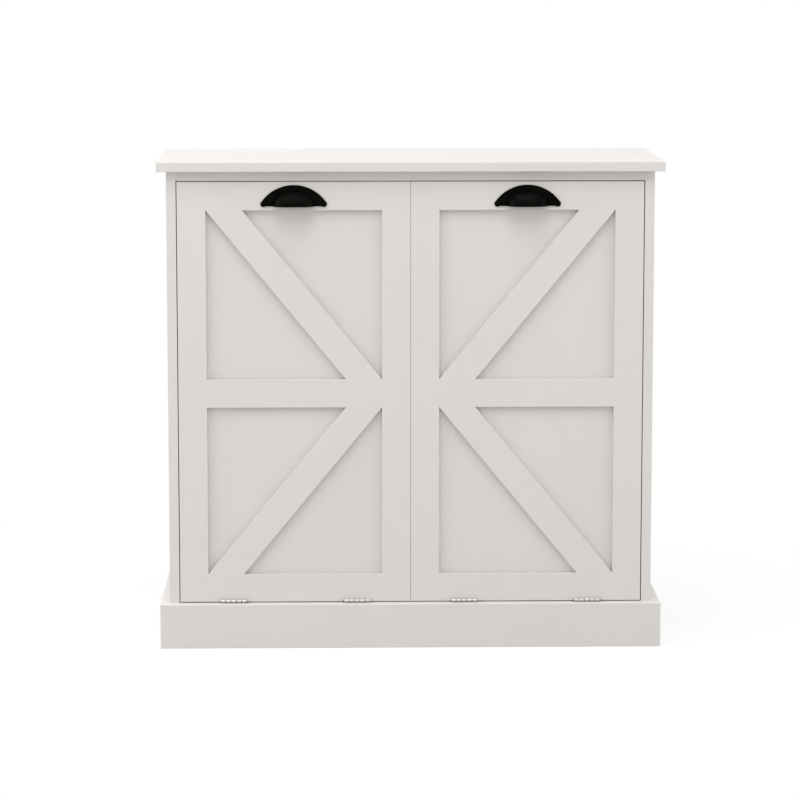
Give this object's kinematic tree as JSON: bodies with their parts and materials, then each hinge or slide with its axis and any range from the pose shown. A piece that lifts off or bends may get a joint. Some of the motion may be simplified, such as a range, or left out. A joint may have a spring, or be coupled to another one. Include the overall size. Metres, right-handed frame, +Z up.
{
  "type": "tilt-out cabinet",
  "caption": "Painted free-standing cabinet whose braced doors tilt out from the bottom on butt hinges, each with a cup pull and an open-topped carrier box held by a slotted stay.",
  "frame": {"origin": "on the floor under the middle of the box round the whole part, pulls included", "axes": "+X to the right of someone facing the doors, -Y out of the doors, +Z up"},
  "size_m": [0.9, 0.358, 0.875],
  "materials": {
    "painted_board": "satin warm white paint on fibreboard",
    "inner_board": "matt white foil",
    "back_sheet": "white-faced hardboard",
    "black_pull": "satin black powder coat",
    "hinge_nickel": "bright nickel plate",
    "zinc": "dull zinc",
    "bright_steel": "zinc-plated steel",
    "beech": "raw beech",
    "catch_plastic": "matt white moulding",
    "magnet": "dull ferrite"
  },
  "bodies": {
    "carcass": {"back_panel": "back_sheet", "bottom_panel": "inner_board", "cam_bolts": "zinc", "cam_locks": "zinc", "catch_housing_left": "catch_plastic", "catch_housing_right": "catch_plastic", "catch_magnets": "magnet", "catch_pole_plates": "bright_steel", "catch_screws": "bright_steel", "centre_divider": "inner_board", "front_rail": "painted_board", "hinge_base_leaves_left": "hinge_nickel", "hinge_base_leaves_right": "hinge_nickel", "hinge_base_screws": "bright_steel", "hinge_pins": "hinge_nickel", "plinth_front": "painted_board", "plinth_left": "painted_board", "plinth_rear": "inner_board", "plinth_right": "painted_board", "plinth_screws": "bright_steel", "rear_rail": "inner_board", "side_panel_left": "painted_board", "side_panel_right": "painted_board", "stay_pivots": "bright_steel", "top_panel": "painted_board", "wood_dowels": "beech"},
    "left_door": {"carrier_cheek_inner_left": "inner_board", "carrier_cheek_outer_left": "inner_board", "carrier_rear_left": "inner_board", "carrier_screws_left": "bright_steel", "carrier_tray_left": "inner_board", "cup_pull_left": "black_pull", "door_overlay_left": "painted_board", "door_panel_left": "painted_board", "hinge_door_leaves_left": "hinge_nickel", "hinge_door_screws_left": "bright_steel", "pull_screws_left": "bright_steel", "stay_stud_left": "bright_steel", "strike_plate_left": "bright_steel", "strike_screws_left": "bright_steel"},
    "right_door": {"carrier_cheek_inner_right": "inner_board", "carrier_cheek_outer_right": "inner_board", "carrier_rear_right": "inner_board", "carrier_screws_right": "bright_steel", "carrier_tray_right": "inner_board", "cup_pull_right": "black_pull", "door_overlay_right": "painted_board", "door_panel_right": "painted_board", "hinge_door_leaves_right": "hinge_nickel", "hinge_door_screws_right": "bright_steel", "pull_screws_right": "bright_steel", "stay_stud_right": "bright_steel", "strike_plate_right": "bright_steel", "strike_screws_right": "bright_steel"},
    "left_stay": {"stay_arm_left": "bright_steel"},
    "right_stay": {"stay_arm_right": "bright_steel"}
  },
  "joints": [
    {"name": "left_door_tilt", "type": "hinge", "parent": "carcass", "child": "left_door", "pos_m": [-0.20735, -0.1573, 0.0833], "axis": [1, 0, 0], "range_deg": [0, 35]},
    {"name": "left_stay_swing", "type": "hinge", "parent": "carcass", "child": "left_stay", "pos_m": [-0.411, 0.07905, 0.12498], "axis": [1, 0, 0], "range_deg": [0, 17.5]},
    {"name": "right_door_tilt", "type": "hinge", "parent": "carcass", "child": "right_door", "pos_m": [0.20735, -0.1573, 0.0833], "axis": [1, 0, 0], "range_deg": [0, 35]},
    {"name": "right_stay_swing", "type": "hinge", "parent": "carcass", "child": "right_stay", "pos_m": [0.411, 0.07905, 0.12498], "axis": [1, 0, 0], "range_deg": [0, 17.5]}
  ],
  "couplings": [
    {"joint": "left_stay_swing", "follows": "left_door_tilt", "ratio": 0.5},
    {"joint": "right_stay_swing", "follows": "right_door_tilt", "ratio": 0.5}
  ]
}
